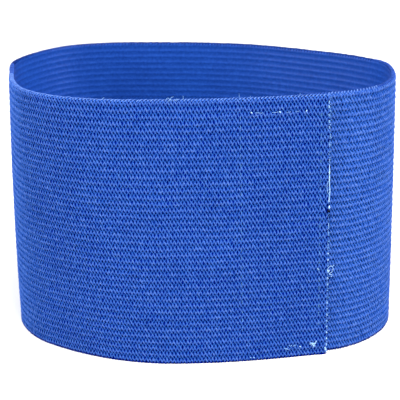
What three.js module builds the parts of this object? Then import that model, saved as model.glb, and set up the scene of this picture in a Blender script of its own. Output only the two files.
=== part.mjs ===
import * as THREE from 'three';

// Captain armband: one strip of wide ribbed elastic webbing, closed into a loop that stands on its
// lower edge. The strip laps over itself at the front right, where a patch of fastening tape sewn
// behind the outer lap holds the two laps together. Millimetres, +Z up, +X to the right, +Y to the
// back. The strip runs counter-clockwise seen from above, from its hidden inner end to its cut end.

// The strip
const bandHeight = 75;
const wall = 1.4;
const ribPitch = 1.83;
const ribRelief = 0.3;
const edgeBevel = 0.35;

// The loop, measured over its outer face
const loopWidth = 112.2;
const loopDepth = 79;

// The lap: the cut end's place along the loop from the front row of the table, the length that lies
// behind it, and the stretch past the cut end over which the inner lap comes out to the loop
const seamRun = 34.9;
const lapLength = 29;
const lapEase = 17;

// The fastening tape between the laps
const tapeWidth = 23;
const tapeHeight = 67.5;
const tapeThickness = 0.5;
const tapeFromSeam = 1.8;
const seatGap = 0.3;

// How finely the loop is faceted: a station each stationStep of length, and one each stationTurn
const stationStep = 17;
const stationTurn = 12;

// Plan of the outer face, counter-clockwise from the front. across is a share of half the loop's
// width and back a share of half its depth. flare is how far the upper edge leans out past the
// lower edge, and belly how far the middle bows out past both, as shares of the band's height.
const planRows = [
  { name: 'front', across: 0.000, back: -0.999, flare: -0.018, belly: 0.002 },
  { name: 'tape', across: 0.249, back: -0.979, flare: -0.010, belly: 0.002 },
  { name: 'seam', across: 0.481, back: -0.937, flare: 0.000, belly: 0.001 },
  { name: 'right front', across: 0.681, back: -0.884, flare: 0.010, belly: 0.000 },
  { name: 'right corner', across: 0.838, back: -0.722, flare: 0.020, belly: 0.000 },
  { name: 'right turn', across: 0.951, back: -0.502, flare: 0.008, belly: 0.000 },
  { name: 'right side', across: 1.000, back: -0.226, flare: -0.006, belly: 0.003 },
  { name: 'right rear', across: 0.981, back: 0.064, flare: -0.004, belly: 0.003 },
  { name: 'rear slope', across: 0.835, back: 0.326, flare: 0.000, belly: 0.003 },
  { name: 'rear run', across: 0.599, back: 0.574, flare: 0.000, belly: 0.003 },
  { name: 'rear rise', across: 0.335, back: 0.793, flare: 0.000, belly: 0.003 },
  { name: 'rear middle', across: 0.057, back: 0.919, flare: 0.000, belly: 0.003 },
  { name: 'rear left', across: -0.229, back: 0.975, flare: 0.000, belly: 0.003 },
  { name: 'rear flat', across: -0.501, back: 0.999, flare: 0.000, belly: 0.003 },
  { name: 'rear corner', across: -0.738, back: 0.909, flare: 0.000, belly: 0.004 },
  { name: 'left rear', across: -0.905, back: 0.655, flare: -0.002, belly: 0.006 },
  { name: 'left side', across: -1.000, back: 0.342, flare: -0.014, belly: 0.006 },
  { name: 'left middle', across: -0.984, back: 0.014, flare: -0.018, belly: 0.007 },
  { name: 'left front', across: -0.950, back: -0.292, flare: -0.016, belly: 0.006 },
  { name: 'left turn', across: -0.858, back: -0.567, flare: 0.008, belly: 0.004 },
  { name: 'left corner', across: -0.689, back: -0.778, flare: 0.024, belly: 0.003 },
  { name: 'front left', across: -0.480, back: -0.918, flare: 0.008, belly: 0.003 },
  { name: 'front bow', across: -0.247, back: -0.987, flare: -0.016, belly: 0.002 },
];

const planCurve = new THREE.CatmullRomCurve3(
  planRows.map((row) => new THREE.Vector3(
    row.across * loopWidth / 2, row.back * loopDepth / 2, 0)), true, 'centripetal');
const leanCurve = new THREE.CatmullRomCurve3(
  planRows.map((row) => new THREE.Vector3(row.flare, row.belly, 0)), true, 'centripetal');
planCurve.arcLengthDivisions = 600;
const loopLength = planCurve.getLength();
const stripLength = loopLength + lapLength;
const lapStep = wall + seatGap + tapeThickness + seatGap;

// Where a run along the strip, counted from its inner end, lies on the loop.
function placeAt(run) {
  const share = (seamRun - lapLength + run) / loopLength;
  const u = share - Math.floor(share);
  const t = planCurve.getUtoTmapping(u);
  const tangent = planCurve.getTangent(t);
  const lean = leanCurve.getPoint(t);
  return {
    point: planCurve.getPoint(t),
    outward: new THREE.Vector3(tangent.y, -tangent.x, 0).normalize(),
    flare: lean.x * bandHeight,
    belly: lean.y * bandHeight,
  };
}

// How far the strip's outer face lies inside the loop's: a full lap step behind the outer lap,
// easing to nothing past the cut end.
function insetAt(run) {
  const past = THREE.MathUtils.clamp((run - lapLength) / lapEase, 0, 1);
  return lapStep * (1 - THREE.MathUtils.smoothstep(past, 0, 1));
}

// Runs from one end of a stretch to the other, closer together where the loop turns more.
function stations(from, to) {
  const fineSteps = Math.ceil(to - from);
  const runs = [from];
  const costs = [0];
  let last = placeAt(from).outward;
  for (let i = 1; i <= fineSteps; i += 1) {
    const run = from + (to - from) * i / fineSteps;
    const outward = placeAt(run).outward;
    const turn = THREE.MathUtils.radToDeg(last.angleTo(outward));
    const length = (to - from) / fineSteps;
    costs.push(costs[i - 1] + length / stationStep + turn / stationTurn);
    runs.push(run);
    last = outward;
  }
  const count = Math.ceil(costs[fineSteps]);
  const picked = [from];
  let i = 0;
  for (let k = 1; k < count; k += 1) {
    const wanted = costs[fineSteps] * k / count;
    while (costs[i + 1] < wanted) i += 1;
    const part = (wanted - costs[i]) / (costs[i + 1] - costs[i]);
    picked.push(THREE.MathUtils.lerp(runs[i], runs[i + 1], part));
  }
  picked.push(to);
  return picked;
}

// How far the wall stands out at a height, from its lean and its belly.
function bowAt(place, z) {
  const up = z / bandHeight;
  return place.flare * (up - 0.5) + place.belly * 4 * up * (1 - up);
}

// The webbing's section, from its lower outer edge round: a ribbed outer face, bevelled edges and a
// plain inner face. out is measured from the loop's outer face.
function webbingSection() {
  const ribs = Math.round(bandHeight / ribPitch);
  const section = [{ out: -edgeBevel, z: 0 }];
  for (let half = 0; half <= 2 * ribs; half += 1) {
    const z = THREE.MathUtils.clamp(half * bandHeight / (2 * ribs), edgeBevel, bandHeight - edgeBevel);
    section.push({ out: half % 2 === 0 ? -ribRelief : 0, z });
  }
  section.push({ out: -edgeBevel, z: bandHeight });
  section.push({ out: edgeBevel - wall, z: bandHeight });
  const innerRows = 6;
  for (let row = innerRows; row >= 0; row -= 1) {
    const z = THREE.MathUtils.lerp(edgeBevel, bandHeight - edgeBevel, row / innerRows);
    section.push({ out: -wall, z });
  }
  section.push({ out: edgeBevel - wall, z: 0 });
  return section;
}

// The tape's section: a plain plate centred on the band's height, one seat gap inside the outer lap.
function tapeSection() {
  const low = (bandHeight - tapeHeight) / 2;
  const outer = -wall - seatGap;
  const rows = 4;
  const section = [];
  for (let row = 0; row <= rows; row += 1) {
    section.push({ out: outer, z: low + tapeHeight * row / rows });
  }
  for (let row = rows; row >= 0; row -= 1) {
    section.push({ out: outer - tapeThickness, z: low + tapeHeight * row / rows });
  }
  return section;
}

// A closed body: the section carried along the runs, with a cap on each end.
function sweptStrip(section, runs, insetOf) {
  const positions = [];
  for (const run of runs) {
    const place = placeAt(run);
    for (const corner of section) {
      const out = corner.out - insetOf(run) + bowAt(place, corner.z);
      const point = place.point.clone().addScaledVector(place.outward, out);
      positions.push(point.x, point.y, corner.z);
    }
  }
  const size = section.length;
  const index = [];
  for (let i = 0; i + 1 < runs.length; i += 1) {
    for (let k = 0; k < size; k += 1) {
      const next = (k + 1) % size;
      const a = i * size + k;
      const b = (i + 1) * size + k;
      const c = (i + 1) * size + next;
      const d = i * size + next;
      index.push(a, b, c, a, c, d);
    }
  }
  const outline = section.map((corner) => new THREE.Vector2(corner.out, corner.z));
  const lastStation = (runs.length - 1) * size;
  for (const [a, b, c] of THREE.ShapeUtils.triangulateShape(outline, [])) {
    index.push(a, b, c);
    index.push(lastStation + a, lastStation + c, lastStation + b);
  }
  const geometry = new THREE.BufferGeometry();
  geometry.setAttribute('position', new THREE.Float32BufferAttribute(positions, 3));
  geometry.setIndex(index);
  geometry.computeVertexNormals();
  return geometry;
}

// The one strip of webbing, inner end to cut end.
function makeElasticBand() {
  const geometry = sweptStrip(webbingSection(), stations(0, stripLength), insetAt);
  const webbing = new THREE.MeshStandardMaterial({ color: 0x2d5fc8, roughness: 0.85, metalness: 0 });
  const band = new THREE.Mesh(geometry, webbing);
  band.name = 'elastic_band';
  return band;
}

// The patch of tape between the laps, sewn behind the outer one.
function makeFasteningTape() {
  const end = stripLength - tapeFromSeam;
  const geometry = sweptStrip(tapeSection(), stations(end - tapeWidth, end), () => 0);
  const pile = new THREE.MeshStandardMaterial({ color: 0x2450a8, roughness: 0.95, metalness: 0 });
  const tape = new THREE.Mesh(geometry, pile);
  tape.name = 'fastening_tape';
  return tape;
}

const armband = new THREE.Group();
armband.add(makeElasticBand(), makeFasteningTape());

// The origin is the middle of the footprint, on the surface that the lower edge stands on.
const footprint = new THREE.Box3().setFromObject(armband).getCenter(new THREE.Vector3());
armband.position.set(-footprint.x, -footprint.y, 0);

export default armband;
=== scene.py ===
# %% [markdown]
# A captain armband is a strip of wide woven elastic, closed into a loop by a patch of fastening
# tape that is sewn behind one end. This lesson dresses a plain solid of it in real yarns. The
# solid gives the place and the size of everything. Each step below names one thing that a weaver
# or a sewer made, and builds it as geometry that can be looked at from any side.

import bpy
import numpy as np
from mathutils import Matrix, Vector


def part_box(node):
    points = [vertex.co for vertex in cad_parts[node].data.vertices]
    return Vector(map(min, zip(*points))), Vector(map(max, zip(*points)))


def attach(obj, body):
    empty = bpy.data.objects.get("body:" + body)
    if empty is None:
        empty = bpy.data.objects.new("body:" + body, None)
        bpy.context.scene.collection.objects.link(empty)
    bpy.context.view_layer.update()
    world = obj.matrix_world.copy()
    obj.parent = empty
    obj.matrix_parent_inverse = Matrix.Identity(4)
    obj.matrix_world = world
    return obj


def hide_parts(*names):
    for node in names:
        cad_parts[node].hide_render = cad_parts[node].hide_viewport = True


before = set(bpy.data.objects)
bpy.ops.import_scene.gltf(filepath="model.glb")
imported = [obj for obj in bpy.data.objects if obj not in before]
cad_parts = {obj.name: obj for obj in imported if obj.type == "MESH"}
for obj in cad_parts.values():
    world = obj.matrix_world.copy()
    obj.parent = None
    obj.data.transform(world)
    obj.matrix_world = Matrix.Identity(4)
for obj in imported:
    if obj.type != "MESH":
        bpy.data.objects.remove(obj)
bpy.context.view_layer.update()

print("solid nodes:", sorted(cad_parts))

# %% [markdown]
# Everything follows the strip, so the first need is a way to walk along it. The loop's plan is an
# uneven oval: flat at the front where the tape stiffens it, tight at the right, long and slanting
# at the back. A closed curve through a few named rows keeps that shape readable. Beside each row
# stand two small numbers, for how far the upper edge leans out and how far the middle bows. The
# solid keeps small gaps round the tape. Cloth has none, so here the laps lie against the tape.

# %% Sizes of the strip and rows of the loop
MM = 0.001
BAND_HEIGHT = 75.0
WALL = 1.4
RIBS = 41
RIB_PITCH = BAND_HEIGHT / RIBS
LOOP_WIDTH = 112.2
LOOP_DEPTH = 79.0
SEAM_RUN = 34.9
LAP_LENGTH = 29.0
LAP_EASE = 17.0
TAPE_WIDTH = 23.0
TAPE_HEIGHT = 67.5
TAPE_THICKNESS = 0.5
TAPE_FROM_SEAM = 1.8
LAP_STEP = WALL + TAPE_THICKNESS
LAP_TUCK = 0.6
SLACK_LENGTH = 45.0
SLACK_FADE = 25.0

# across and back are shares of half the width and half the depth; flare and belly of the height
PLAN_ROWS = [
    dict(name="front", across=0.000, back=-0.999, flare=-0.018, belly=0.002),
    dict(name="tape", across=0.249, back=-0.979, flare=-0.010, belly=0.002),
    dict(name="seam", across=0.481, back=-0.937, flare=0.000, belly=0.001),
    dict(name="right front", across=0.681, back=-0.884, flare=0.010, belly=0.000),
    dict(name="right corner", across=0.838, back=-0.722, flare=0.020, belly=0.000),
    dict(name="right turn", across=0.951, back=-0.502, flare=0.008, belly=0.000),
    dict(name="right side", across=1.000, back=-0.226, flare=-0.006, belly=0.003),
    dict(name="right rear", across=0.981, back=0.064, flare=-0.004, belly=0.003),
    dict(name="rear slope", across=0.835, back=0.326, flare=0.000, belly=0.003),
    dict(name="rear run", across=0.599, back=0.574, flare=0.000, belly=0.003),
    dict(name="rear rise", across=0.335, back=0.793, flare=0.000, belly=0.003),
    dict(name="rear middle", across=0.057, back=0.919, flare=0.000, belly=0.003),
    dict(name="rear left", across=-0.229, back=0.975, flare=0.000, belly=0.003),
    dict(name="rear flat", across=-0.501, back=0.999, flare=0.000, belly=0.003),
    dict(name="rear corner", across=-0.738, back=0.909, flare=0.000, belly=0.004),
    dict(name="left rear", across=-0.905, back=0.655, flare=-0.002, belly=0.006),
    dict(name="left side", across=-1.000, back=0.342, flare=-0.014, belly=0.006),
    dict(name="left middle", across=-0.984, back=0.014, flare=-0.018, belly=0.007),
    dict(name="left front", across=-0.950, back=-0.292, flare=-0.016, belly=0.006),
    dict(name="left turn", across=-0.858, back=-0.567, flare=0.008, belly=0.004),
    dict(name="left corner", across=-0.689, back=-0.778, flare=0.024, belly=0.003),
    dict(name="front left", across=-0.480, back=-0.918, flare=0.008, belly=0.003),
    dict(name="front bow", across=-0.247, back=-0.987, flare=-0.016, belly=0.002),
]
print(len(PLAN_ROWS), "rows round the loop, a lap step of", round(LAP_STEP, 2), "mm")


# %% [markdown]
# A Catmull-Rom curve passes through its rows, and the centripetal kind never overshoots where
# rows lie close together. Blender has no such curve, but it is a few lines of arithmetic. It is
# sampled finely once. After that every place on the strip is a lookup, for many thousands of
# points at once.

# %% A closed curve through the rows
def through_rows(rows, per_row):
    """A closed centripetal Catmull-Rom curve, whose knots follow the first two columns."""
    p0, p1, p2, p3 = (np.roll(rows, shift, axis=0) for shift in (1, 0, -1, -2))
    pairs = ((p0, p1), (p1, p2), (p2, p3))
    g0, g1, g2 = (np.linalg.norm((b - a)[:, :2], axis=1)[:, None] ** 0.5 for a, b in pairs)
    leave = ((p1 - p0) / g0 - (p2 - p0) / (g0 + g1) + (p2 - p1) / g1) * g1
    arrive = ((p2 - p1) / g1 - (p3 - p1) / (g1 + g2) + (p3 - p2) / g2) * g1
    t = np.linspace(0, 1, per_row, endpoint=False)[None, :, None]
    a, b, m, n = (x[:, None, :] for x in (p1, p2, leave, arrive))
    curve = a + m * t + (3 * (b - a) - 2 * m - n) * t**2 + (2 * (a - b) + m + n) * t**3
    return curve.reshape(-1, rows.shape[1])


loop_scale = np.array([LOOP_WIDTH / 2, LOOP_DEPTH / 2, BAND_HEIGHT, BAND_HEIGHT])
loop_shares = np.array([[r["across"], r["back"], r["flare"], r["belly"]] for r in PLAN_ROWS])
loop = through_rows(loop_shares * loop_scale, per_row=60)
loop = np.vstack([loop, loop[:1]])
loop_arc = np.concatenate([[0], np.cumsum(np.linalg.norm(np.diff(loop[:, :2], axis=0), axis=1))])
LOOP_LENGTH = loop_arc[-1]
STRIP_LENGTH = LOOP_LENGTH + LAP_LENGTH
print("the loop is", round(LOOP_LENGTH, 1), "mm round")
print("the strip is", round(STRIP_LENGTH, 1), "mm long")


# %% [markdown]
# The strip has its own three directions: run counts from the hidden inner end to the cut end, z
# goes up, and out stands away from the outer face. Yarns are easy to describe in those three
# numbers. Behind the outer lap the strip lies one lap step further in, and past the cut end it
# eases out. There the cloth is also slack: its yarns are broader and dip deeper than on the
# stretched rest. The inner lap's upper edge also sits a little lower than the outer one, so that
# it barely shows.

# %% From the strip's own directions to space
def smooth(t):
    t = np.clip(t, 0, 1)
    return t * t * (3 - 2 * t)


def loop_place(run):
    """Plan position, outward normal, flare and belly at each run, in mm."""
    arc = (SEAM_RUN - LAP_LENGTH + run) % LOOP_LENGTH
    x, y, flare, belly = (np.interp(arc, loop_arc, loop[:, k]) for k in range(4))
    reach = 0.4
    ahead, behind = (arc + reach) % LOOP_LENGTH, (arc - reach) % LOOP_LENGTH
    along_x = np.interp(ahead, loop_arc, loop[:, 0]) - np.interp(behind, loop_arc, loop[:, 0])
    along_y = np.interp(ahead, loop_arc, loop[:, 1]) - np.interp(behind, loop_arc, loop[:, 1])
    length = np.hypot(along_x, along_y)
    return x, y, along_y / length, -along_x / length, flare, belly


def in_loop(run, z, out):
    """Points in mm, in the plan's own frame."""
    run, z, out = np.broadcast_arrays(*(np.asarray(v, float) for v in (run, z, out)))
    x, y, normal_x, normal_y, flare, belly = loop_place(run)
    inset = LAP_STEP * (1 - smooth((run - LAP_LENGTH) / LAP_EASE))
    up = z / BAND_HEIGHT
    stand = out - inset + flare * (up - 0.5) + belly * 4 * up * (1 - up)
    tuck = LAP_TUCK * up * (1 - smooth((run - LAP_LENGTH / 2) / (LAP_LENGTH / 2)))
    return np.stack([x + normal_x * stand, y + normal_y * stand, z - tuck], axis=-1)


outline_runs = np.linspace(0, STRIP_LENGTH, 1500)[:, None]
outline = in_loop(outline_runs, np.linspace(0, BAND_HEIGHT, 31), 0.0)
band_low, band_high = (np.array(corner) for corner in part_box("elastic_band"))
plan_middle = (outline.reshape(-1, 3).min(0) + outline.reshape(-1, 3).max(0)) / 2
PLAN_TO_FRAME = np.array([*((band_low + band_high) / 2 / MM - plan_middle)[:2], 0.0])


def on_strip(run, z, out):
    """Points in metres, in the frame of the solid model."""
    return (in_loop(run, z, out) + PLAN_TO_FRAME) * MM


def slack(run):
    """1 past the cut end, where the cloth isn't stretched, and 0 from the right side on."""
    return 1 - smooth((run - LAP_LENGTH - SLACK_LENGTH) / SLACK_FADE)


print("the plan moves by", PLAN_TO_FRAME.round(3), "mm into the frame")


# %% [markdown]
# Thousands of like yarns are one joined mesh, built from arrays. Each yarn is a closed tube with
# a three-sided section: two feet on the rubber core and a ridge that faces the light. Smooth
# shading makes it look round, and so few sides leave room for every single yarn of the cloth.
# Where a fourth number comes with a point, the mesh keeps it under the name stand, for the
# material to read.

# %% Mesh helpers
def add_piece(name, points, faces, material):
    mesh = bpy.data.meshes.new(name)
    mesh.from_pydata(points[:, :3].tolist(), [], faces)
    if points.shape[1] == 4:
        mesh.attributes.new("stand", "FLOAT", "POINT").data.foreach_set("value", points[:, 3])
    mesh.polygons.foreach_set("use_smooth", [len(face) == 4 for face in faces])
    mesh.materials.append(material)
    piece = bpy.data.objects.new(name, mesh)
    bpy.context.collection.objects.link(piece)
    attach(piece, "root")
    return piece


def triangles_in(piece):
    return sum(len(p.vertices) - 2 for p in piece.data.polygons)


def tube_faces(valid, corners, flip=False):
    """Faces of many tubes. valid says which sections of each tube exist, tubes by sections."""
    tubes, sections = valid.shape
    at = np.arange(tubes * sections * corners).reshape(tubes, sections, corners)
    both = valid[:, :-1] & valid[:, 1:]
    a, b = at[:, :-1][both], at[:, 1:][both]
    c, d = np.roll(b, -1, axis=1), np.roll(a, -1, axis=1)
    sides = np.stack([a, b, c, d], axis=-1).reshape(-1, 4)
    starts = both & ~np.pad(both, ((0, 0), (1, 0)))[:, :-1]
    ends = both & ~np.pad(both, ((0, 0), (0, 1)))[:, 1:]
    caps = np.concatenate([at[:, :-1][starts], at[:, 1:][ends][:, ::-1]])
    if flip:
        sides, caps = sides[:, ::-1], caps[:, ::-1]
    return sides, caps


def used_only(points, sides, caps):
    """Drops the points that no face uses."""
    used, again = np.unique(np.concatenate([sides.ravel(), caps.ravel()]), return_inverse=True)
    count = sides.size
    sides, caps = again[:count].reshape(sides.shape), again[count:].reshape(caps.shape)
    return points[used], sides.tolist() + caps.tolist()


print("helpers ready")

# %% [markdown]
# The yarn is dyed polyester: a deep, matt blue, made of many filaments. Its colour changes a
# little from yarn to yarn and in larger clouds, where the elastic has been stretched. The
# filaments run along the yarn, nearly upright, so a noise that is stretched upwards shows them.
# The outer yarns also carry painted light: paler on top as a painted highlight, and darker, with
# less red, in the grooves as painted shade. The number stand on the outer yarns says which is
# which, so this painted light sits on the cloth and looks the same from any side.

# %% Materials
def shader(name, colour, roughness, specular=0.5, sheen=0.0, sheen_tint=(1, 1, 1, 1)):
    material = bpy.data.materials.new(name)
    material.use_nodes = True
    bsdf = material.node_tree.nodes["Principled BSDF"]
    bsdf.inputs["Base Color"].default_value = (*colour, 1)
    bsdf.inputs["Roughness"].default_value = roughness
    bsdf.inputs["Specular IOR Level"].default_value = specular
    bsdf.inputs["Sheen Weight"].default_value = sheen
    bsdf.inputs["Sheen Roughness"].default_value = 0.4
    bsdf.inputs["Sheen Tint"].default_value = sheen_tint
    return material, bsdf


def noise_of(material, scale, stretch=(1, 1, 1), detail=2.0):
    nodes, links = material.node_tree.nodes, material.node_tree.links
    place = nodes.new("ShaderNodeTexCoord")
    mapping = nodes.new("ShaderNodeMapping")
    mapping.inputs["Scale"].default_value = stretch
    noise = nodes.new("ShaderNodeTexNoise")
    noise.inputs["Scale"].default_value = scale
    noise.inputs["Detail"].default_value = detail
    links.new(place.outputs["Object"], mapping.inputs["Vector"])
    links.new(mapping.outputs["Vector"], noise.inputs["Vector"])
    return noise.outputs["Fac"]


def ramp(material, factor, stops):
    node = material.node_tree.nodes.new("ShaderNodeValToRGB")
    node.color_ramp.elements.remove(node.color_ramp.elements[1])
    for i, (position, colour) in enumerate(stops):
        stop = node.color_ramp.elements[0] if i == 0 else node.color_ramp.elements.new(position)
        stop.position = position
        stop.color = (*colour, 1)
    material.node_tree.links.new(factor, node.inputs["Fac"])
    return node.outputs["Color"]


def multiply(material, first, second, share):
    node = material.node_tree.nodes.new("ShaderNodeMix")
    node.data_type = "RGBA"
    node.blend_type = "MULTIPLY"
    node.inputs["Factor"].default_value = share
    material.node_tree.links.new(first, node.inputs["A"])
    material.node_tree.links.new(second, node.inputs["B"])
    return node.outputs["Result"]


def bump(material, bsdf, height, strength, distance):
    node = material.node_tree.nodes.new("ShaderNodeBump")
    node.inputs["Strength"].default_value = strength
    node.inputs["Distance"].default_value = distance
    material.node_tree.links.new(height, node.inputs["Height"])
    material.node_tree.links.new(node.outputs["Normal"], bsdf.inputs["Normal"])


YARN_GRAIN = 1300.0
CLOUD_GRAIN = 95.0
FILAMENT = dict(scale=5200.0, stretch=(1, 1, 0.12))


def groove_shade(material):
    """Painted highlight on top of each yarn, and painted shade, deeper and with less red, where it
    dips between the others.
    """
    stand = material.node_tree.nodes.new("ShaderNodeAttribute")
    stand.attribute_name = "stand"
    return ramp(material, stand.outputs["Fac"], [(0.0, (0.10, 0.62, 0.96)), (1.0, (1, 1, 1))])


def yarn_material(name, deep, plain, bright, specular=0.5, sheen=0.03, groove_shading=False):
    tint = (1.0, 0.85, 1.0, 1)
    material, bsdf = shader(name, plain, 0.46, specular=specular, sheen=sheen, sheen_tint=tint)
    grain = noise_of(material, YARN_GRAIN)
    yarn_shade = ramp(material, grain, [(0.30, deep), (0.52, plain), (0.72, bright)])
    patches = noise_of(material, CLOUD_GRAIN)
    cloud = ramp(material, patches, [(0.35, (0.92, 0.93, 0.95)), (0.65, (1, 1, 1))])
    coloured = multiply(material, yarn_shade, cloud, 1.0)
    # painted shade in the grooves and painted highlight on the crests, read from stand
    if groove_shading:
        coloured = multiply(material, coloured, groove_shade(material), 1.0)
    material.node_tree.links.new(coloured, bsdf.inputs["Base Color"])
    bump(material, bsdf, noise_of(material, **FILAMENT), 0.3, 0.00006)
    return material


FACE_YARN = yarn_material(
    "face_yarn", (0.031, 0.088, 0.328), (0.056, 0.114, 0.374), (0.102, 0.160, 0.412),
    specular=0.03, sheen=0.0, groove_shading=True)
CROSS_YARN = yarn_material(
    "cross_yarn", (0.019, 0.066, 0.300), (0.038, 0.091, 0.346), (0.076, 0.132, 0.384),
    specular=0.00, sheen=0.0, groove_shading=True)
BACK_YARN = yarn_material(
    "back_yarn", (0.003, 0.041, 0.257), (0.005, 0.050, 0.300), (0.009, 0.064, 0.348),
    specular=0.22)
# painted highlight: the near rim's loops are paler where the light catches them
SELVEDGE_HIGHLIGHT = yarn_material(
    "selvedge_painted_highlight", (0.022, 0.090, 0.36), (0.040, 0.122, 0.44), (0.074, 0.175, 0.53))
# painted shade: the far rim's loops are made darker than the yarn
REAR_RIM_SHADE = yarn_material(
    "rear_rim_painted_shade", (0.001, 0.014, 0.12), (0.001, 0.018, 0.15), (0.002, 0.026, 0.19),
    specular=0.05, sheen=0.0)
# the core's near-black colour is partly its dark yarn and partly painted shade for the slits
CORE_AND_SHADE = yarn_material(
    "covered_rubber_and_shade", (0.0, 0.003, 0.13), (0.0, 0.005, 0.18), (0.0, 0.009, 0.23),
    specular=0.0, sheen=0.0)
print(len(bpy.data.materials), "materials")

# %% [markdown]
# Inside the cloth run forty-one rubber cords, one for each rib, each wound with fine dark yarn.
# Their near-black colour is partly that yarn and partly painted shade: seen through the gaps
# between the face yarns it makes the weave's dark slits, which are too shallow here to darken
# much by themselves. One closed shell with a ribbed section stands for them all: it is the sheet
# that the face yarns then cover. It ends a little short of the strip's edges and ends, so that the
# yarns hide it there.

# %% The covered rubber core
CORE_CREST = 0.20
CORE_GROOVE = 0.56
SLACK_DIP = 0.07
CORE_BACK_CREST = 0.22
CORE_BACK_GROOVE = 0.48
CORE_STEP = 3.0
CORE_SHORT = 0.1
CORE_EDGE = 0.25

core_z = np.linspace(0, BAND_HEIGHT, 2 * RIBS + 1)
crest = np.arange(2 * RIBS + 1) % 2 == 1
edge_z = np.clip(core_z, CORE_EDGE, BAND_HEIGHT - CORE_EDGE)
section_out = np.concatenate([np.where(crest, -CORE_CREST, -CORE_GROOVE),
                              np.where(crest, CORE_BACK_CREST, CORE_BACK_GROOVE)[::-1] - WALL])
outer_groove = np.concatenate([~crest, np.zeros(len(crest), bool)])
section_z = np.concatenate([edge_z, edge_z[::-1]])
core_stations = round(STRIP_LENGTH / CORE_STEP) + 1
core_runs = np.linspace(CORE_SHORT, STRIP_LENGTH - CORE_SHORT, core_stations)
deeper = SLACK_DIP * slack(core_runs)[:, None] * outer_groove
core_points = on_strip(core_runs[:, None], section_z, section_out - deeper)
sides, _ = tube_faces(np.ones((1, len(core_runs)), bool), len(section_z))
first = list(range(len(section_z)))
last = [i + (len(core_runs) - 1) * len(section_z) for i in first]
core_faces = sides.tolist() + [first[::-1], last]
core = add_piece("rubber_core", core_points.reshape(-1, 3), core_faces, CORE_AND_SHADE)
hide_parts("elastic_band")
print(RIBS, "ribs,", triangles_in(core), "triangles")

# %% [markdown]
# The weft yarns cross the ribs on a slant. Each one arches over a rubber cord, nearly upright,
# then dips and slides sideways into the groove, one stitch over for each rib, so a long diagonal
# runs down the cloth. A second set slants the other way below the first. Between the two sets lie
# dark slits, in level rows on the flanks of the ribs. A small notch parts the yarns at the cut
# edge.

# %% The yarn lattice
STITCH = 0.965
STITCHES = round(STRIP_LENGTH / STITCH)
SLIDE = 0.25
OFF_CREST = 0.25

STEPS_PER_RIB = 4
YARN_DIP = 0.30
YARN_DRIFT = 0.07
YARN_UNEVEN = 0.12
YARN_EDGE = 0.15

# the notch in the cut edge: mm back from the cut end, height, and reach
NOTCH = dict(back=0.2, z=42.9, reach=0.55)


def clouds(run, z, size, seed):
    """A smooth random field from -1 to 1 whose features measure about size mm."""
    random = np.random.default_rng(seed)
    total = 0
    for _ in range(6):
        angle, phase = random.uniform(0, np.pi), random.uniform(0, 2 * np.pi)
        wave = random.uniform(0.7, 1.4) * 2 * np.pi / size
        total = total + np.sin(wave * (np.cos(angle) * run + np.sin(angle) * z) + phase)
    return total / 3


def whole(run, z):
    """True where the notch doesn't part the yarns."""
    return np.hypot(run - (STRIP_LENGTH - NOTCH["back"]), z - NOTCH["z"]) > NOTCH["reach"]


def lattice(half, slant, width, thick, lift, span, seed):
    """Half of a set of yarns, which shift slant stitches for each rib."""
    count = STITCHES + RIBS
    random = np.random.default_rng(seed)
    knots = np.arange(2 * RIBS + 1) / 2
    v = np.linspace(0, RIBS, RIBS * STEPS_PER_RIB + 1)
    nudges = random.normal(0, 1, (3, count, len(knots)))
    nudges = np.stack([[np.interp(v, knots, row) for row in rows] for rows in nudges])
    mine = slice(0, count // 2) if half == 0 else slice(count // 2, count)
    number = (np.arange(count) - (RIBS if slant > 0 else 0))[mine, None]
    sideways, height, breadth = nudges[:, mine]
    slide = v - SLIDE / (2 * np.pi) * np.sin(2 * np.pi * (v - 0.5))
    run = (number + slant * (slide + OFF_CREST) + YARN_DRIFT * sideways) * STITCH
    z = BAND_HEIGHT - v * RIB_PITCH + 0.10 * clouds(run, v * RIB_PITCH, 21.0, 3)
    z = np.clip(z, YARN_EDGE, BAND_HEIGHT - YARN_EDGE)
    arch = np.sin(np.pi * (v % 1.0))
    ridge = -(YARN_DIP + SLACK_DIP * slack(run)) * (1 - arch) + lift(run, z) + 0.025 * height
    closed = 0.58 + 0.34 * np.cos(2 * np.pi * (v - 0.38))
    wide = width * STITCH * (1 + YARN_UNEVEN * breadth) * (1 + closed * slack(run))
    foot = ridge - thick
    corner_run = np.stack([run - wide / 2, run, run + wide / 2], axis=-1)
    corner_out = np.stack([foot, ridge, foot], axis=-1)
    # stand is high on a yarn's crest and low at its feet and in the grooves; the material paints
    # highlight and shade from it
    stand = np.stack([0.10 * arch, 0.35 + 0.65 * arch, 0.10 * arch], axis=-1)
    stand = np.broadcast_to(stand, corner_run.shape)[..., None]
    points = np.concatenate([on_strip(corner_run, z[..., None], corner_out), stand], axis=-1)
    valid = (run > span[0]) & (run < span[1]) & whole(run, z)
    return used_only(points.reshape(-1, 4), *tube_faces(valid, 3))


print(STITCHES, "stitches along", round(STRIP_LENGTH), "mm, over", RIBS, "ribs")

# %% [markdown]
# The yarns that face outwards are laid only where they can be seen or felt: from just behind the
# cut end, round the loop, to the cut end. Two pieces share each set, so that no mesh grows heavy.

# %% Outer face yarns
UNDER_LAP = 6.0
OUTER_SPAN = (LAP_LENGTH - UNDER_LAP, STRIP_LENGTH - 0.05)
FACE_SHAPE = dict(width=0.54, thick=0.16, span=OUTER_SPAN)
CROSS_SHAPE = dict(width=0.51, thick=0.14, span=OUTER_SPAN)


def face_lift(run, z):
    return 0.02 * clouds(run, z, 9.0, 5)


def cross_lift(run, z):
    return -0.03 + 0.045 * clouds(run, z, 7.0, 8)


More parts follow.
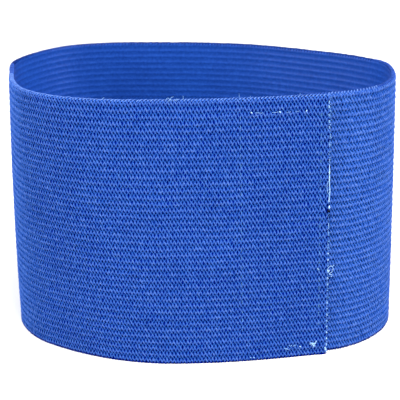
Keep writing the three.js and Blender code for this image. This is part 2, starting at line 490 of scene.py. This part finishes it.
yarns = []
for half, side in ((0, "right"), (1, "left")):
    points, faces = lattice(half, 1, lift=face_lift, seed=11, **FACE_SHAPE)
    yarns.append(add_piece(f"face_yarns_{side}", points, faces, FACE_YARN))
    points, faces = lattice(half, -1, lift=cross_lift, seed=12, **CROSS_SHAPE)
    yarns.append(add_piece(f"cross_yarns_{side}", points, faces, CROSS_YARN))
for piece in yarns:
    print(piece.name, triangles_in(piece), "triangles")

# %% [markdown]
# The inner face is the same cloth seen from the back. There the yarns lie upright and so close
# that no gap shows: level ribs with thin grooves between them, and a faint upright line for each
# stitch. One closed skin with that relief covers it.

# %% Inner face
INNER_SPAN = (0.0, STRIP_LENGTH - LAP_LENGTH + UNDER_LAP)
BACK_STEPS = 3
BACK_GROOVE = 0.26
BACK_LINE = 0.03
SKIN_INSIDE = 0.55

skin_stitches = round((INNER_SPAN[1] - INNER_SPAN[0]) / STITCH)
skin_runs = np.linspace(*INNER_SPAN, 2 * skin_stitches + 1)
skin_v = np.linspace(RIBS, 0, RIBS * BACK_STEPS + 1)
inside_v = np.linspace(0.3, RIBS - 0.3, 9)
groove = 1 - np.abs(np.sin(np.pi * skin_v)) ** 0.7
line = (np.arange(len(skin_runs)) % 2)[:, None] * (1 - groove)
rough = 0.010 * np.random.default_rng(13).normal(0, 1, line.shape)
rough += 0.03 * clouds(skin_runs[:, None], skin_v * RIB_PITCH, 11.0, 15)
skin_out = -WALL + BACK_GROOVE * groove + BACK_LINE * line + rough
inside_out = np.full((len(skin_runs), len(inside_v)), SKIN_INSIDE - WALL)
skin_z = np.concatenate([inside_v, skin_v]) * RIB_PITCH
skin_z = np.clip(skin_z, YARN_EDGE, BAND_HEIGHT - YARN_EDGE)
skin_points = on_strip(skin_runs[:, None], skin_z, np.concatenate([inside_out, skin_out], axis=1))
sides, caps = tube_faces(np.ones((1, len(skin_runs)), bool), len(skin_z))
skin_faces = sides.tolist() + caps.tolist()
skin = add_piece("back_yarns", skin_points.reshape(-1, 3), skin_faces, BACK_YARN)
yarns.append(skin)
print(skin.name, triangles_in(skin), "triangles")


# %% [markdown]
# At each edge of the strip the weft turns round and goes back: the selvedge. It shows as a line
# of small slanting loops along the rim. Each loop is a short tube that climbs the outer face,
# leans over the edge and goes down inside. Their colours are painted light: pale as a painted
# highlight on the near rim, and dark as painted shade on the far rim, on the hidden lap's rim and
# along the lower edge, where the band meets the floor. So the row is made in parts, each with its
# own yarn.

# %% Selvedge loops
LOOP_PATH = [
    dict(shift=-0.50, rise=-0.24, out=-0.32),
    dict(shift=-0.36, rise=0.05, out=-0.34),
    dict(shift=-0.18, rise=0.16, out=-0.50),
    dict(shift=0.00, rise=0.20, out=-0.78),
    dict(shift=0.18, rise=0.16, out=-1.06),
    dict(shift=0.36, rise=0.04, out=-1.28),
    dict(shift=0.50, rise=-0.30, out=-1.36),
]
LOOP_SIDES = 5
LOOP_RADIUS = 0.14


def selvedge(name, edge_z, upward, span, material, outward=0.0):
    """A row of loops along part of one edge. upward is 1 for the upper edge, -1 for the lower."""
    number = np.arange(round(span[0] / STITCH), round(span[1] / STITCH))
    run0 = (number + 0.5) * STITCH
    random = np.random.default_rng(21 + upward)
    wander = random.normal(0, 1, (3, len(number), 1))
    shift, rise, out = (np.array([row[k] for row in LOOP_PATH]) for k in ("shift", "rise", "out"))
    run = run0[:, None] + (shift + 0.05 * wander[0]) * STITCH * 1.1
    tall = rise * (1 + 0.1 * wander[1]) + 0.03 * wander[2]
    out = np.broadcast_to(out + outward, run.shape)
    along = np.stack([np.gradient(part, axis=1) for part in (run, tall, out)], -1)
    along /= np.linalg.norm(along, axis=-1, keepdims=True)
    side = np.cross(along, np.array([1.0, 0, 0]))
    side /= np.linalg.norm(side, axis=-1, keepdims=True)
    broad = np.cross(along, side)
    turn = 2 * np.pi * np.arange(LOOP_SIDES)[:, None] / LOOP_SIDES
    across, over = side[:, :, None] * np.cos(turn), broad[:, :, None] * np.sin(turn)
    ring = LOOP_RADIUS * (0.9 * across + 1.35 * over)
    corner = np.stack([run, tall, out], -1)[:, :, None] + ring
    corner_run = np.clip(corner[..., 0], 0, STRIP_LENGTH)
    points = on_strip(corner_run, edge_z + upward * corner[..., 1], corner[..., 2])
    sides, caps = tube_faces(np.ones(run.shape, bool), LOOP_SIDES, flip=upward > 0)
    points, faces = used_only(points.reshape(-1, 3), sides, caps)
    return add_piece(name, points, faces, material)


# the pale spans carry the painted highlight of the near rim
PALE_RIGHT = (LAP_LENGTH, 45.0)
PALE_LEFT = (231.0, STRIP_LENGTH)
REAR_RIM = (82.0, 217.0)
UPPER_RIM = [
    ("selvedge_pale_right", PALE_RIGHT, SELVEDGE_HIGHLIGHT),
    ("selvedge_pale_left", PALE_LEFT, SELVEDGE_HIGHLIGHT),
    # painted shade: the hidden lap's rim takes the dark back yarn, in the shade of the outer lap
    ("selvedge_hidden_lap", (0, LAP_LENGTH), BACK_YARN),
    ("selvedge_right", (PALE_RIGHT[1], REAR_RIM[0]), BACK_YARN),
    ("selvedge_left", (REAR_RIM[1], PALE_LEFT[0]), BACK_YARN),
]
for name, span, material in UPPER_RIM:
    yarns.append(selvedge(name, BAND_HEIGHT - 0.15, 1, span, material))
# painted shade on the far rim
yarns.append(selvedge("selvedge_rear", BAND_HEIGHT - 0.25, 1, REAR_RIM, REAR_RIM_SHADE))
# painted shade: the lower loops take the near-black core colour where the band meets the floor
yarns.append(selvedge("selvedge_lower_painted_shade", 0.37, -1, (0, STRIP_LENGTH), CORE_AND_SHADE, outward=0.24))
print("loops on each edge:", STITCHES)


# %% [markdown]
# Loose threads, cut ends and sewing stitches are all short lengths of something thin. Each is a
# path of a few points on the strip, counted back from the cut end, that a curve rounds off. A
# small tube is then carried along it. Its frame is turned as little as possible from step to
# step, so that a curl doesn't twist.

# %% Threads
def open_curve(points, per_row):
    """The curve through a few points, with its two ends kept."""
    padded = np.vstack([2 * points[0] - points[1], points, 2 * points[-1] - points[-2]])
    curve = through_rows(padded, per_row)
    return np.vstack([curve[per_row:per_row * len(points)], points[-1:]])


def tube_along(path, radius, sides=5):
    """A closed tube round a path of run, z and out, as points in metres and lists of faces."""
    centre = on_strip(path[:, 0], path[:, 1], path[:, 2])
    along = np.gradient(centre, axis=0)
    along /= np.linalg.norm(along, axis=1, keepdims=True)
    turn = 2 * np.pi * np.arange(sides)[:, None] / sides
    across = np.array([0.31, 0.22, 0.92])
    rings = []
    for place, direction, thickness in zip(centre, along, np.broadcast_to(radius, len(path))):
        across = across - direction * (across @ direction)
        across /= np.linalg.norm(across)
        other = np.cross(direction, across)
        rings.append(place + (across * np.cos(turn) + other * np.sin(turn)) * thickness * MM)
    side_faces, caps = tube_faces(np.ones((1, len(path)), bool), sides, flip=True)
    return np.concatenate(rings), side_faces.tolist() + caps.tolist()


def add_threads(name, paths, material, per_row=4, seed=31, slub=0.12):
    """One piece of many threads. Each path has its radius and its points: back, z and out."""
    random = np.random.default_rng(seed)
    all_points, all_faces, start = [], [], 0
    for radius, rows in paths:
        points = np.array(rows, float)
        points[:, 0] = STRIP_LENGTH - points[:, 0]
        curve = open_curve(points, per_row)
        thickness = radius * (1 + slub * random.normal(0, 1, len(curve))).clip(0.5, 1.6)
        thickness[[0, -1]] *= 0.6
        tube, faces = tube_along(curve, thickness)
        all_points.append(tube)
        all_faces += [[i + start for i in face] for face in faces]
        start += len(tube)
    piece = add_piece(name, np.concatenate(all_points), all_faces, material)
    yarns.append(piece)
    print(name, len(paths), "threads,", triangles_in(piece), "triangles")


def thread_material(name, deep, plain, bright):
    material, bsdf = shader(name, plain, 0.55, specular=0.4, sheen=0.2)
    shade = ramp(material, noise_of(material, 1800.0), [(0.32, deep), (0.5, plain), (0.7, bright)])
    material.node_tree.links.new(shade, bsdf.inputs["Base Color"])
    bump(material, bsdf, noise_of(material, **FILAMENT), 0.4, 0.00006)
    return material


WHITE_THREAD = thread_material(
    "white_thread", (0.16, 0.34, 0.62), (0.27, 0.46, 0.72), (0.42, 0.60, 0.80))
PALE_FIBRE = thread_material(
    "pale_fibre", (0.07, 0.19, 0.46), (0.12, 0.27, 0.54), (0.20, 0.37, 0.62))
TEAL_FIBRE = thread_material(
    "teal_fibre", (0.02, 0.11, 0.32), (0.04, 0.15, 0.38), (0.07, 0.22, 0.46))
print("thread materials ready")

# %% [markdown]
# The shears left the rubber cords' ends bare along the cut edge. Each is a pale stub that stands
# a little past the yarns. Most show near the bottom, where the yarns drew back; further up only a
# few peep out, tinted by the dye. The hidden end of the strip was cut the same way.

# %% Rubber ends
END_LOOKS = {
    "bright": dict(past=0.30, radius=0.40, ribs=(0, 1, 2, 3, 4, 5, 6, 8, 11)),
    "medium": dict(past=0.28, radius=0.32, ribs=(12, 15, 16)),
    "faint": dict(past=0.27, radius=0.24, ribs=(7, 10, 14, 17, 19, 20, 31, 33, 34, 36, 38)),
}
HIDDEN_RADIUS = 0.28
random = np.random.default_rng(41)


def cord_end(rib, past, radius):
    z = (rib + 0.5) * RIB_PITCH
    tip = z + random.uniform(-0.05, 0.25)
    rows = [(1.4, z, -0.80), (0.7, z, -0.78), (0.1, z, -0.66), (-past, tip, -0.62)]
    return radius * random.uniform(0.9, 1.1), rows


def ends_of(look):
    return [cord_end(rib, look["past"], look["radius"]) for rib in look["ribs"]]


seen = {rib for look in END_LOOKS.values() for rib in look["ribs"]}
hidden = [cord_end(rib, 0.0, HIDDEN_RADIUS) for rib in range(RIBS) if rib not in seen]
inner = [(radius, [(STRIP_LENGTH - back, z, out) for back, z, out in rows])
         for radius, rows in (cord_end(rib, 0.0, HIDDEN_RADIUS) for rib in range(RIBS))]
white_ends = ends_of(END_LOOKS["bright"]) + ends_of(END_LOOKS["medium"])
add_threads("rubber_ends_white", white_ends, WHITE_THREAD, per_row=2)
add_threads("rubber_ends_tinted", ends_of(END_LOOKS["faint"]), PALE_FIBRE, per_row=2)
add_threads("rubber_ends_hidden", hidden + inner, TEAL_FIBRE, per_row=2)

# %% [markdown]
# Along the cut edge some threads have sprung loose. A white one lies down the middle of the edge,
# a thick scrap of it sits at the lowest rib, and a frayed curl hangs over the inner lap. Near the
# top only short, tinted lengths show. At the notch a near-black bead is painted shadow, for the
# dark of the deep nick, and at the lower corner a short dark tube in the core's colour fills the
# turn of the edge.

# %% Threads of the cut edge
edge_white = [
    (0.09, [(0.06, 56.0, -0.12), (0.04, 55.0, -0.06), (0.02, 53.8, -0.06)]),
    (0.14, [(0.02, 54.4, -0.06), (0.04, 52.6, -0.02), (0.00, 50.4, 0.00),
            (-0.14, 48.2, -0.02), (-0.04, 46.6, -0.04), (0.08, 45.3, -0.14)]),
    (0.19, [(-0.08, 44.3, -0.12), (-0.06, 43.9, -0.02), (-0.04, 43.5, -0.08)]),
    (0.24, [(0.42, 2.3, -0.06), (0.30, 1.8, 0.02), (0.22, 1.3, -0.06)]),
]
curl = [
    (0.075, [(0.05, 25.0, -0.25), (-0.20, 25.9, -0.40), (-0.60, 26.35, -0.60),
             (-1.14, 26.4, -0.75), (-1.70, 26.0, -0.85), (-1.90, 25.3, -0.90),
             (-1.70, 24.6, -0.95), (-1.14, 24.25, -1.00), (-0.75, 24.0, -1.10),
             (-1.20, 23.75, -1.10), (-1.70, 23.6, -1.15), (-1.75, 23.2, -1.20),
             (-1.30, 23.05, -1.20)]),
    (0.10, [(0.12, 25.5, -0.24), (-0.10, 25.0, -0.20), (-0.30, 24.7, -0.34)]),
    (0.08, [(-1.60, 26.1, -0.84), (-2.00, 26.4, -0.95), (-2.35, 26.5, -1.10)]),
    (0.08, [(-0.25, 24.9, -0.30), (-0.50, 25.4, -0.50), (-0.65, 25.1, -0.60),
            (-0.40, 24.6, -0.60)]),
]
edge_tinted = [
    (0.14, [(0.46, 73.5, -0.10), (0.44, 73.0, -0.02), (0.42, 72.6, -0.10)]),
    (0.16, [(0.54, 72.3, -0.08), (0.48, 71.9, 0.04), (0.50, 71.4, -0.08)]),
    (0.13, [(0.50, 69.9, -0.08), (0.46, 69.6, 0.02), (0.42, 69.2, -0.08)]),
    (0.17, [(0.42, 68.2, -0.08), (0.40, 67.8, 0.04), (0.34, 67.4, -0.10)]),
    (0.12, [(0.36, 66.6, -0.08), (0.32, 66.2, -0.02), (0.30, 65.9, -0.08)]),
    (0.11, [(-0.08, 64.5, -0.30), (-0.14, 63.9, -0.22), (-0.24, 63.1, -0.30)]),
    (0.11, [(0.14, 61.8, -0.16), (0.08, 61.3, -0.12), (0.04, 60.8, -0.18)]),
    (0.10, [(0.34, 59.1, -0.06), (0.28, 58.7, -0.06)]),
    (0.11, [(0.12, 57.6, -0.14), (0.06, 57.0, -0.10), (0.04, 56.5, -0.14)]),
    (0.08, [(0.26, 51.4, -0.02), (0.62, 50.6, 0.05), (0.66, 49.4, 0.07),
            (0.52, 48.4, 0.05), (0.22, 47.6, -0.02)]),
    (0.10, [(0.02, 39.4, -0.16), (-0.04, 38.8, -0.08), (0.00, 38.0, -0.16)]),
    (0.08, [(0.10, 36.9, -0.12), (0.04, 36.3, -0.10)]),
    (0.09, [(0.08, 33.4, -0.12), (0.02, 32.8, -0.08)]),
]
# painted shadow: near-black beads stand for the shade inside the notch
NOTCH_SHADOW, _ = shader("notch_painted_shadow", (0.0, 0.002, 0.012), 0.9, specular=0.1)
notch_shadow_beads = [
    (0.36, [(0.30, 43.15, -0.16), (0.14, 42.85, -0.08), (0.04, 42.5, -0.16)]),
    (0.15, [(-0.18, 41.9, -0.30), (-0.22, 41.6, -0.24), (-0.24, 41.3, -0.32)]),
]
add_threads("cut_edge_white", edge_white, WHITE_THREAD)
add_threads("cut_edge_curl", curl, WHITE_THREAD, seed=32)
add_threads("cut_edge_tinted", edge_tinted, PALE_FIBRE, seed=33)
add_threads("cut_edge_notch_shadow", notch_shadow_beads, NOTCH_SHADOW, seed=38)
cut_corner = [
    (0.15, [(2.2, 0.17, -0.34), (1.4, 0.16, -0.30), (0.7, 0.15, -0.28), (0.02, 0.15, -0.26)]),
]
add_threads("cut_corner", cut_corner, CORE_AND_SHADE, seed=40, slub=0.0)

# %% [markdown]
# The cut yarns themselves have frayed into a thin fuzz. It is many short fibres, which lean every
# way along the whole height of the edge.

# %% Fuzz of the cut edge
FUZZ_FIBRES = 150
FUZZ_RADIUS = 0.055
random = np.random.default_rng(43)
fuzz = []
for z in random.uniform(1.0, BAND_HEIGHT - 1.0, FUZZ_FIBRES):
    back = random.uniform(-0.05, 0.25)
    lean, rise = random.normal(-0.15, 0.30), random.normal(0, 0.35)
    middle, tip = (back + lean / 2, z + rise * 0.7, -0.08), (back + lean, z + rise, -0.22)
    fuzz.append((FUZZ_RADIUS, [(back, z, -0.30), middle, tip]))
add_threads("cut_edge_fuzz", fuzz, TEAL_FIBRE, per_row=2, seed=39)

# %% [markdown]
# The tape is sewn on from behind. Of that sewing the outer face shows a row of small white knots
# near the upper edge, with a faint length of thread between some of them, and one knot near the
# lower edge beside a little tuft. The upright seams sink between the yarns and barely show.

# %% Stitches of the tape
knots = [
    (0.17, [(21.2, 71.3, 0.00), (21.0, 71.2, 0.09), (20.8, 71.05, 0.00)]),
    (0.18, [(13.7, 71.2, 0.00), (13.5, 71.1, 0.10), (13.3, 70.95, 0.00)]),
    (0.13, [(6.65, 70.8, 0.00), (6.5, 71.0, 0.08), (6.35, 71.3, 0.00)]),
    (0.17, [(7.75, 3.3, 0.00), (7.6, 3.2, 0.09), (7.45, 3.05, 0.00)]),
    (0.15, [(2.9, 26.5, 0.00), (2.8, 26.2, 0.05), (2.75, 25.9, 0.00)]),
    (0.12, [(4.0, 3.6, 0.10), (3.4, 3.9, 0.18), (2.9, 4.6, 0.06)]),
    (0.12, [(4.9, 3.7, 0.00), (4.4, 3.8, 0.12), (3.8, 3.8, 0.18), (3.3, 4.0, 0.10)]),
    (0.11, [(4.4, 3.3, 0.00), (4.0, 3.5, 0.16), (3.5, 3.6, 0.14), (3.1, 3.8, 0.02)]),
    (0.17, [(3.9, 3.5, 0.00), (3.75, 3.2, 0.14), (3.6, 2.8, 0.04)]),
]
faint_thread = [
    (0.06, [(20.0, 71.1, -0.12), (19.2, 71.1, -0.01), (18.4, 71.0, -0.01), (17.7, 71.0, -0.14)]),
    (0.06, [(15.6, 71.0, -0.12), (15.0, 71.0, 0.01), (14.5, 71.0, 0.03), (13.9, 71.1, -0.02)]),
    (0.05, [(11.8, 70.9, -0.12), (11.2, 70.9, -0.02), (10.6, 71.0, -0.12)]),
    (0.05, [(9.4, 71.0, -0.12), (8.9, 71.0, -0.02), (8.3, 71.0, -0.12)]),
    (0.06, [(12.9, 72.2, -0.06), (12.7, 71.9, 0.02), (12.5, 71.6, -0.06)]),
    (0.10, [(3.9, 3.7, 0.08), (3.8, 3.1, 0.14), (3.9, 2.4, 0.04)]),
    (0.09, [(4.9, 4.2, 0.00), (4.3, 4.1, 0.12), (3.7, 4.0, 0.08)]),
    (0.10, [(3.6, 3.7, 0.12), (3.4, 3.1, 0.10), (3.2, 2.8, 0.02)]),
    (0.10, [(12.2, 3.2, 0.00), (11.7, 3.0, 0.08), (11.1, 3.1, 0.04)]),
    (0.09, [(11.8, 2.6, 0.00), (11.4, 2.8, 0.08), (10.9, 2.5, 0.02)]),
    (0.08, [(10.8, 3.9, 0.00), (10.4, 3.6, 0.08), (10.0, 3.9, 0.02)]),
    (0.08, [(9.7, 3.4, 0.00), (9.3, 3.8, 0.08), (8.8, 3.7, 0.00)]),
    (0.10, [(21.9, 1.3, 0.00), (21.7, 1.15, 0.06), (21.4, 1.1, 0.00)]),
    (0.10, [(21.0, 1.2, 0.00), (20.8, 1.05, 0.06), (20.5, 1.1, 0.00)]),
]
SIDE_STITCH = 2.6
side_seams = []
for back in (2.4, 23.9):
    for i in range(int((TAPE_HEIGHT - 4) / SIDE_STITCH)):
        z = 70.5 - i * SIDE_STITCH
        steps = ((0.0, -0.34), (0.4, -0.16), (1.1, -0.16), (1.5, -0.34))
        side_seams.append((0.08, [(back, z - down, out) for down, out in steps]))
add_threads("tape_stitch_knots", knots, WHITE_THREAD, seed=34)
add_threads("tape_stitch_thread", faint_thread, PALE_FIBRE, seed=35)
add_threads("tape_side_seams", side_seams, TEAL_FIBRE, per_row=2, seed=36)

# %% [markdown]
# A used cloth edge is never clean. A few fibres stand up from the rim at the front, and a small
# tangle sits on it left of the middle.

# %% Stray fibres
stray = [
    (0.05, [(24.1, 74.9, -0.50), (24.1, 75.6, -0.50), (24.15, 76.3, -0.50)]),
    (0.05, [(21.5, 74.9, -0.50), (21.2, 75.3, -0.45), (21.3, 75.6, -0.50)]),
    (0.06, [(43.4, 75.0, -0.30), (42.8, 75.6, -0.20), (42.2, 75.3, -0.10), (41.6, 74.9, 0.02)]),
    (0.06, [(42.9, 74.7, 0.04), (42.3, 75.1, 0.02), (41.9, 75.6, -0.20), (41.3, 75.9, -0.40)]),
    (0.05, [(40.9, 74.9, 0.00), (40.4, 75.3, -0.10), (39.8, 75.2, -0.30)]),
    (0.05, [(38.9, 75.0, -0.40), (38.7, 75.6, -0.40), (38.8, 76.1, -0.40)]),
    (0.05, [(60.2, 75.0, -0.40), (60.0, 75.4, -0.35), (59.6, 75.6, -0.40)]),
    (0.05, [(8.6, 75.0, -0.50), (8.2, 75.3, -0.45), (8.0, 75.7, -0.50)]),
]
add_threads("stray_fibres", stray, PALE_FIBRE, seed=37, slub=0.05)

# %% [markdown]
# Between the laps lies the fastening tape, two mated halves of hooks and loops. Only its edge can
# be seen, from above, from below and from the right. It is a thin pad with rounded edges and a
# pebbled face, built as a grid that swells and dips a little.

# %% Fastening tape
TAPE = yarn_material("tape_pile", (0.010, 0.050, 0.30), (0.016, 0.070, 0.38), (0.030, 0.11, 0.48))
tape_u = np.linspace(0, 1, 47)
tape_v = np.linspace(0, 1, 91)
tape_run = STRIP_LENGTH - TAPE_FROM_SEAM - TAPE_WIDTH * (1 - tape_u)[:, None]
tape_z = (BAND_HEIGHT - TAPE_HEIGHT) / 2 + TAPE_HEIGHT * tape_v[None, :]
from_end = np.minimum(tape_u, 1 - tape_u) * TAPE_WIDTH
from_rim = np.minimum(tape_v, 1 - tape_v) * TAPE_HEIGHT
from_edge = np.minimum.outer(from_end, from_rim)
swell = TAPE_THICKNESS / 2 * np.sqrt(1 - (1 - np.clip(from_edge / 0.35, 0, 1)) ** 2)
pebble = 0.03 * clouds(tape_run, tape_z, 1.6, 44) * (from_edge > 0.3)
front = on_strip(tape_run, tape_z, -WALL - TAPE_THICKNESS / 2 + swell + pebble)
back = on_strip(tape_run, tape_z, -WALL - TAPE_THICKNESS / 2 - swell - pebble)
rows_u, rows_v = len(tape_u), len(tape_v)
at = np.arange(rows_u * rows_v).reshape(rows_u, rows_v)
quads = np.stack([at[:-1, :-1], at[1:, :-1], at[1:, 1:], at[:-1, 1:]], -1).reshape(-1, 4)
inner_at = at.copy()
inner_at[1:-1, 1:-1] += rows_u * rows_v
low, high = inner_at[:-1], inner_at[1:]
back_quads = np.stack([low[:, :-1], low[:, 1:], high[:, 1:], high[:, :-1]], -1).reshape(-1, 4)
tape_points = np.concatenate([front.reshape(-1, 3), back.reshape(-1, 3)])
points, faces = used_only(tape_points, quads, back_quads)
tape = add_piece("tape_pad", points, faces, TAPE)
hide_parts("fastening_tape")
print("tape pad", triangles_in(tape), "triangles")

# %% [markdown]
# The strip is one sheet of elastic, cut to its flat length. Its yarns lie on the core and go with
# it.

print("flat strip", BAND_HEIGHT, "by", round(STRIP_LENGTH), "mm")

# %% [markdown]
# The picture is a plain studio shot: a pale floor that fills the view, an even bright room, and
# soft panels from both sides, which lift the turned-away ends of the band.

# %% Floor and light
FLOOR, floor_bsdf = shader("studio_floor", (0.74, 0.74, 0.74), 0.8)
FLOOR_REACH = 3.0
floor_turns = ((-1, -1), (1, -1), (1, 1), (-1, 1))
floor_corners = [(x * FLOOR_REACH, y * FLOOR_REACH, 0) for x, y in floor_turns]
floor_mesh = bpy.data.meshes.new("studio_floor")
floor_mesh.from_pydata(floor_corners, [], [(0, 1, 2, 3)])
floor_mesh.materials.append(FLOOR)
floor = bpy.data.objects.new("studio_floor", floor_mesh)
bpy.context.collection.objects.link(floor)

world = bpy.data.worlds.new("bright_room")
bpy.context.scene.world = world
world.use_nodes = True
world.node_tree.nodes["Background"].inputs["Color"].default_value = (1, 1, 1, 1)
world.node_tree.nodes["Background"].inputs["Strength"].default_value = 0.60


def placed(right, up, back, place):
    """The matrix of a lamp or camera that stands at place and looks away from its back."""
    return Matrix([[right[i], up[i], back[i], place[i]] for i in range(3)] + [[0, 0, 0, 1]])


def panel(name, place, aim, size, power):
    light = bpy.data.lights.new(name, "AREA")
    light.shape = "RECTANGLE"
    light.size, light.size_y = size
    light.energy = power
    lamp = bpy.data.objects.new(name, light)
    bpy.context.collection.objects.link(lamp)
    back = np.array(place, float) - np.array(aim, float)
    back /= np.linalg.norm(back)
    right = np.cross([0, 0, 1.0], back)
    right /= np.linalg.norm(right)
    up = np.cross(back, right)
    lamp.matrix_world = placed(right, up, back, place)


BAND_MIDDLE = (0, 0, 0.04)
panel("left_panel", (-0.8, -0.25, 0.45), BAND_MIDDLE, (0.6, 0.6), 10.0)
panel("right_panel", (0.8, -0.25, 0.45), BAND_MIDDLE, (0.6, 0.6), 8.4)
panel("top_panel", (0.15, -0.40, 0.9), BAND_MIDDLE, (0.7, 0.7), 13.8)
print("floor, room and three panels")

# %% [markdown]
# The camera stands in front, a little above, as the photographer's did. Its distance, tilt and
# lens come from fitting the four edges of the band in the picture, for a band of this height.

# %% Camera
CAMERA_DISTANCE = 341.0
CAMERA_HEIGHT = 150.9
CAMERA_PITCH = 0.3292
CAMERA_ROLL = -0.0197
FOCAL_PIXELS = 1200.0
PICTURE_PIXELS = 400.0
camera_data = bpy.data.cameras.new("camera")
camera_data.sensor_width = 36.0
camera_data.lens = camera_data.sensor_width * FOCAL_PIXELS / PICTURE_PIXELS
camera_data.clip_start = 0.01
camera = bpy.data.objects.new("camera", camera_data)
bpy.context.collection.objects.link(camera)
forward = np.array([0, np.cos(CAMERA_PITCH), -np.sin(CAMERA_PITCH)])
right = np.array([1.0, 0, 0])
up = np.cross(right, forward)
rolled_right = np.cos(CAMERA_ROLL) * right + np.sin(CAMERA_ROLL) * up
rolled_up = np.cos(CAMERA_ROLL) * up - np.sin(CAMERA_ROLL) * right
place = (np.array([0, -CAMERA_DISTANCE, CAMERA_HEIGHT]) + PLAN_TO_FRAME) * MM
camera.matrix_world = placed(rolled_right, rolled_up, -forward, place)
bpy.context.scene.camera = camera
bpy.context.scene.view_settings.view_transform = "Standard"
print("lens", camera_data.lens, "mm")
